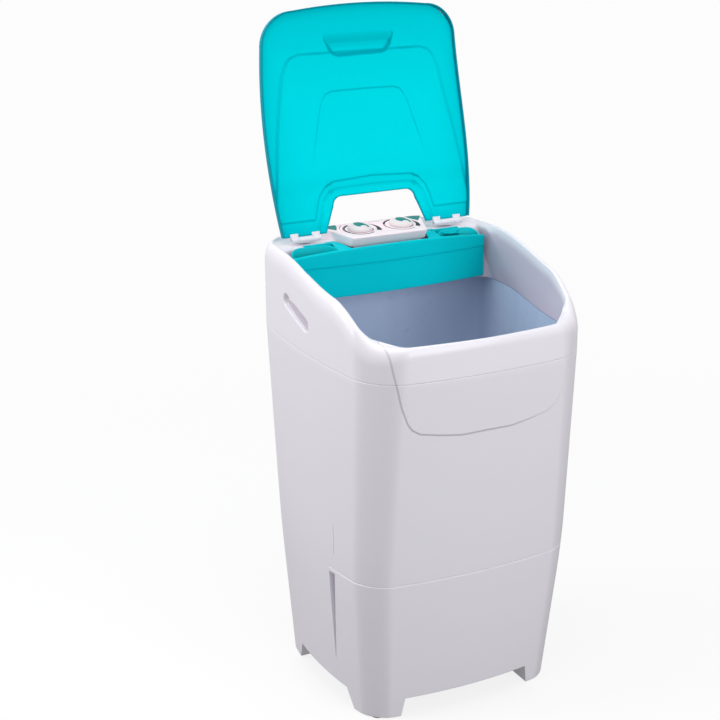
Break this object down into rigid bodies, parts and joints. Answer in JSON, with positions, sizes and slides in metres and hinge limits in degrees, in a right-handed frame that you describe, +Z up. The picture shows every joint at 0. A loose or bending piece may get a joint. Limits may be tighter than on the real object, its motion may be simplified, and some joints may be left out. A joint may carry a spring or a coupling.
{
  "type": "semi-automatic washing machine",
  "caption": "upright single-tub washing machine with a floor-mounted pulsator, belt drive, tinted hinged lid, dispenser tray and two dials",
  "frame": {"origin": "on the floor, under the middle of the collar", "axes": "+Z up, front towards -Y, +X to the right as seen from the front"},
  "size_m": [0.5196, 0.5726, 1.3746],
  "materials": {
    "white_plastic": "satin moulded plastic",
    "tub_plastic": "smooth moulded plastic",
    "pulsator_plastic": "smooth moulded plastic",
    "teal_clear": "glossy tinted plastic",
    "teal_plastic": "glossy tinted plastic",
    "net": "woven net",
    "dark_plastic": "moulded plastic",
    "beige_plastic": "moulded plastic",
    "rubber": "moulded rubber",
    "steel": "plain steel",
    "bronze": "sintered bronze",
    "cast_aluminium": "cast",
    "stator_core": "laminated core",
    "motor_paint": "satin paint"
  },
  "bodies": {
    "body": {"cabinet": "white_plastic", "collar": "white_plastic", "tub": "tub_plastic", "lid_hinge_brackets": "white_plastic", "lid_hinge_pins": "steel", "hinge_screws": "steel", "dispenser_tray": "teal_plastic", "flap_pin": "steel", "control_panel": "white_plastic", "control_box": "white_plastic", "timer_body": "beige_plastic", "selector_switch": "dark_plastic", "lint_filter_frame": "teal_plastic", "lint_filter_net": "net", "filter_guide": "white_plastic", "shaft_seal": "rubber", "upper_bush": "bronze", "lower_bush": "bronze", "bearing_housing": "cast_aluminium", "housing_screws": "steel", "stator": "stator_core", "motor_casing": "motor_paint", "motor_top_bell": "cast_aluminium", "motor_bottom_bell": "cast_aluminium", "motor_bolts": "steel", "motor_bracket": "steel", "rubber_mounts": "rubber", "bracket_bolts": "steel", "capacitor": "cast_aluminium", "capacitor_nut": "steel", "v_belt": "rubber", "drain_strainer": "dark_plastic", "drain_hose": "rubber", "hose_clamps": "steel", "drain_spigot": "dark_plastic", "inlet_spigot": "white_plastic", "inlet_hose": "rubber", "cord_gland": "dark_plastic", "rear_cover": "white_plastic", "cover_screws": "steel", "collar_screws": "steel", "foot_pads": "rubber", "hose_hook": "white_plastic", "wiring_harness": "dark_plastic"},
    "lid": {"lid": "teal_clear"},
    "timer_dial": {"timer_knob": "white_plastic", "timer_shaft": "steel"},
    "program_dial": {"program_knob": "white_plastic", "selector_shaft": "steel"},
    "flap": {"softener_flap": "teal_plastic"},
    "agitator": {"pulsator": "pulsator_plastic", "pulsator_cap": "teal_plastic", "pulsator_screw": "steel", "drive_shaft": "steel", "driven_pulley": "dark_plastic", "pulley_nut": "steel"},
    "motor_spindle": {"rotor": "steel", "motor_pulley": "cast_aluminium"}
  },
  "joints": [
    {"name": "lid_hinge", "type": "hinge", "parent": "body", "child": "lid", "pos_m": [0, 0.176, 0.914], "axis": [1, 0, 0], "range_deg": [0, 112.4]},
    {"name": "timer_turn", "type": "hinge", "parent": "body", "child": "timer_dial", "pos_m": [-0.049, 0.166, 0.923], "axis": [0, 0.0698, -0.9976], "range_deg": [0, 300]},
    {"name": "program_turn", "type": "hinge", "parent": "body", "child": "program_dial", "pos_m": [0.049, 0.166, 0.923], "axis": [0, 0.0698, -0.9976], "range_deg": [0, 270]},
    {"name": "flap_hinge", "type": "hinge", "parent": "body", "child": "flap", "pos_m": [0.157, 0.1496, 0.895], "axis": [1, 0, 0], "range_deg": [0, 45]},
    {"name": "pulsator_spin", "type": "hinge", "parent": "body", "child": "agitator", "pos_m": [0, -0.025, 0.5], "axis": [0, 0, 1], "continuous": true},
    {"name": "motor_spin", "type": "hinge", "parent": "body", "child": "motor_spindle", "pos_m": [0, 0.14, 0.38], "axis": [0, 0, 1], "continuous": true}
  ],
  "couplings": [
    {"joint": "motor_spin", "follows": "pulsator_spin", "ratio": 5.2273}
  ]
}
